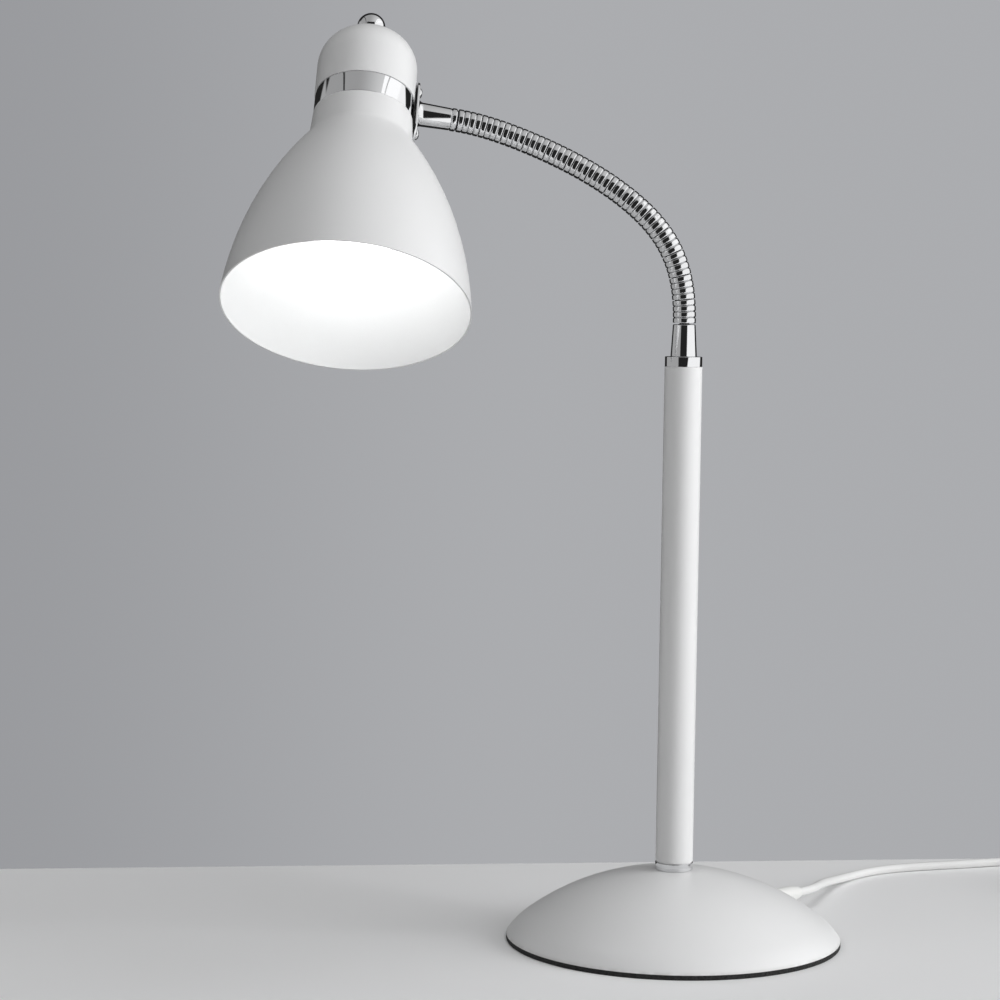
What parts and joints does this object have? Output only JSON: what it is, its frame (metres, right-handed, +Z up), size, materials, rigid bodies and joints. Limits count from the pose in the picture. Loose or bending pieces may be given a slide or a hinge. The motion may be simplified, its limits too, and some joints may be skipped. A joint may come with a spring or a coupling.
{
  "type": "gooseneck desk lamp",
  "caption": "Desk lamp with a weighted dome base, an upright pole, a bendable gooseneck and a bell-shaped metal shade on a round lampholder cap.",
  "frame": {"origin": "centre of the base pad's underside, where it stands on the table", "axes": "+Z up along the pole; the gooseneck leans over towards -X; +Y is the back, and the shade opens down and towards -Y"},
  "size_m": [0.5589, 0.3569, 0.4937],
  "materials": {
    "white_enamel": "smooth satin white enamel",
    "chrome": "polished chrome plate",
    "foam": "matt black foam rubber",
    "cast_weight": "rough as cast",
    "zinc_steel": "zinc plated",
    "white_plastic": "matt white moulding",
    "white_pvc": "smooth soft white sheath",
    "grey_insulation": "matt grey insulation",
    "holder_plastic": "glossy white moulding",
    "brass": "plain brass",
    "cap_aluminium": "satin aluminium",
    "bulb_glass": "frosted white glass",
    "contact_solder": "tinned contact on a dark insulator",
    "tie_black": "matt black tie"
  },
  "bodies": {
    "base": {"base_shell": "white_enamel", "base_weight": "cast_weight", "base_plate": "zinc_steel", "base_plate_screws": "zinc_steel", "base_pad": "foam", "rod_fixings": "zinc_steel", "cord_gland": "white_plastic", "cord_clamp": "zinc_steel", "pole_foot_ring": "chrome", "pole_tube": "white_enamel", "pole_top_ring": "chrome", "pole_rod": "zinc_steel", "inner_flex": "grey_insulation", "lower_ferrule": "chrome", "cord_lead": "white_pvc", "switch_base": "white_plastic", "switch_cover": "white_plastic", "switch_screws": "zinc_steel", "cord_tail": "white_pvc", "cord_coil": "white_pvc", "coil_tie": "tie_black", "cord_end": "white_pvc", "plug_body": "white_plastic", "plug_pins": "chrome"},
    "neck_01": {"gooseneck_link_01": "chrome"},
    "neck_02": {"gooseneck_link_02": "chrome"},
    "neck_03": {"gooseneck_link_03": "chrome"},
    "neck_04": {"gooseneck_link_04": "chrome"},
    "neck_05": {"gooseneck_link_05": "chrome"},
    "neck_06": {"gooseneck_link_06": "chrome"},
    "neck_07": {"gooseneck_link_07": "chrome"},
    "neck_08": {"gooseneck_link_08": "chrome"},
    "neck_09": {"gooseneck_link_09": "chrome"},
    "neck_10": {"gooseneck_link_10": "chrome"},
    "neck_11": {"gooseneck_link_11": "chrome"},
    "neck_12": {"gooseneck_link_12": "chrome"},
    "neck_13": {"gooseneck_link_13": "chrome"},
    "neck_14": {"gooseneck_link_14": "chrome"},
    "head": {"upper_ferrule": "chrome", "flange_plate": "chrome", "flange_screws": "chrome", "head_band": "chrome", "head_cap": "white_enamel", "ball_finial": "chrome", "shade": "white_enamel", "head_nipple": "zinc_steel", "head_bracket": "zinc_steel", "head_nuts": "zinc_steel", "lampholder_dome": "holder_plastic", "lampholder_skirt": "holder_plastic", "shade_ring": "holder_plastic", "lampholder_insert": "holder_plastic", "lampholder_contacts": "brass", "head_wires": "grey_insulation", "bulb_cap": "cap_aluminium", "bulb_contact": "contact_solder", "bulb_glass": "bulb_glass", "bulb_stem": "bulb_glass"},
    "rocker": {"switch_rocker": "white_plastic"}
  },
  "joints": [
    {"name": "neck_bend_01", "type": "hinge", "parent": "base", "child": "neck_01", "pos_m": [0, 0, 0.3326], "axis": [0, -1, 0], "range_deg": [-6, 4]},
    {"name": "neck_side_01", "type": "hinge", "parent": "neck_01", "child": "neck_02", "pos_m": [-0.00065, 0, 0.34513], "axis": [0.9946, 0, 0.1037], "range_deg": [-5, 5]},
    {"name": "neck_bend_02", "type": "hinge", "parent": "neck_02", "child": "neck_03", "pos_m": [-0.00297, 0, 0.35745], "axis": [0, -1, 0], "range_deg": [-6, 4]},
    {"name": "neck_side_02", "type": "hinge", "parent": "neck_03", "child": "neck_04", "pos_m": [-0.00741, 0, 0.36917], "axis": [0.8976, 0, 0.4407], "range_deg": [-5, 5]},
    {"name": "neck_bend_03", "type": "hinge", "parent": "neck_04", "child": "neck_05", "pos_m": [-0.01405, 0, 0.37979], "axis": [0, -1, 0], "range_deg": [-6, 4]},
    {"name": "neck_side_03", "type": "hinge", "parent": "neck_05", "child": "neck_06", "pos_m": [-0.02248, 0, 0.38906], "axis": [0.6852, 0, 0.7284], "range_deg": [-5, 5]},
    {"name": "neck_bend_04", "type": "hinge", "parent": "neck_06", "child": "neck_07", "pos_m": [-0.03204, 0, 0.39719], "axis": [0, -1, 0], "range_deg": [-6, 4]},
    {"name": "neck_side_04", "type": "hinge", "parent": "neck_07", "child": "neck_08", "pos_m": [-0.0423, 0, 0.40441], "axis": [0.5424, 0, 0.8401], "range_deg": [-5, 5]},
    {"name": "neck_bend_05", "type": "hinge", "parent": "neck_08", "child": "neck_09", "pos_m": [-0.05306, 0, 0.41087], "axis": [0, -1, 0], "range_deg": [-6, 4]},
    {"name": "neck_side_05", "type": "hinge", "parent": "neck_09", "child": "neck_10", "pos_m": [-0.06418, 0, 0.41668], "axis": [0.4376, 0, 0.8992], "range_deg": [-5, 5]},
    {"name": "neck_bend_06", "type": "hinge", "parent": "neck_10", "child": "neck_11", "pos_m": [-0.07558, 0, 0.42192], "axis": [0, -1, 0], "range_deg": [-6, 4]},
    {"name": "neck_side_06", "type": "hinge", "parent": "neck_11", "child": "neck_12", "pos_m": [-0.08719, -0.00033, 0.42667], "axis": [0.3592, 0, 0.9333], "range_deg": [-5, 5]},
    {"name": "neck_bend_07", "type": "hinge", "parent": "neck_12", "child": "neck_13", "pos_m": [-0.09898, -0.00134, 0.43086], "axis": [0.101, -0.9943, -0.0331], "range_deg": [-6, 4]},
    {"name": "neck_side_07", "type": "hinge", "parent": "neck_13", "child": "neck_14", "pos_m": [-0.11093, -0.003, 0.43428], "axis": [0.2377, 0, 0.9713], "range_deg": [-5, 5]},
    {"name": "neck_bend_08", "type": "hinge", "parent": "neck_14", "child": "head", "pos_m": [-0.12303, -0.00533, 0.43662], "axis": [0.2092, -0.9774, -0.0298], "range_deg": [-6, 4]},
    {"name": "switch_rocker", "type": "hinge", "parent": "base", "child": "rocker", "pos_m": [0.243, 0.14, 0.013], "axis": [1, 0, 0], "range_deg": [-14, 0]}
  ],
  "couplings": [
    {"joint": "neck_bend_02", "follows": "neck_bend_01", "ratio": 1},
    {"joint": "neck_side_02", "follows": "neck_side_01", "ratio": 1},
    {"joint": "neck_bend_03", "follows": "neck_bend_01", "ratio": 1},
    {"joint": "neck_side_03", "follows": "neck_side_01", "ratio": 1},
    {"joint": "neck_bend_04", "follows": "neck_bend_01", "ratio": 1},
    {"joint": "neck_side_04", "follows": "neck_side_01", "ratio": 1},
    {"joint": "neck_bend_05", "follows": "neck_bend_01", "ratio": 1},
    {"joint": "neck_side_05", "follows": "neck_side_01", "ratio": 1},
    {"joint": "neck_bend_06", "follows": "neck_bend_01", "ratio": 1},
    {"joint": "neck_side_06", "follows": "neck_side_01", "ratio": 1},
    {"joint": "neck_bend_07", "follows": "neck_bend_01", "ratio": 1},
    {"joint": "neck_side_07", "follows": "neck_side_01", "ratio": 1},
    {"joint": "neck_bend_08", "follows": "neck_bend_01", "ratio": 1}
  ]
}
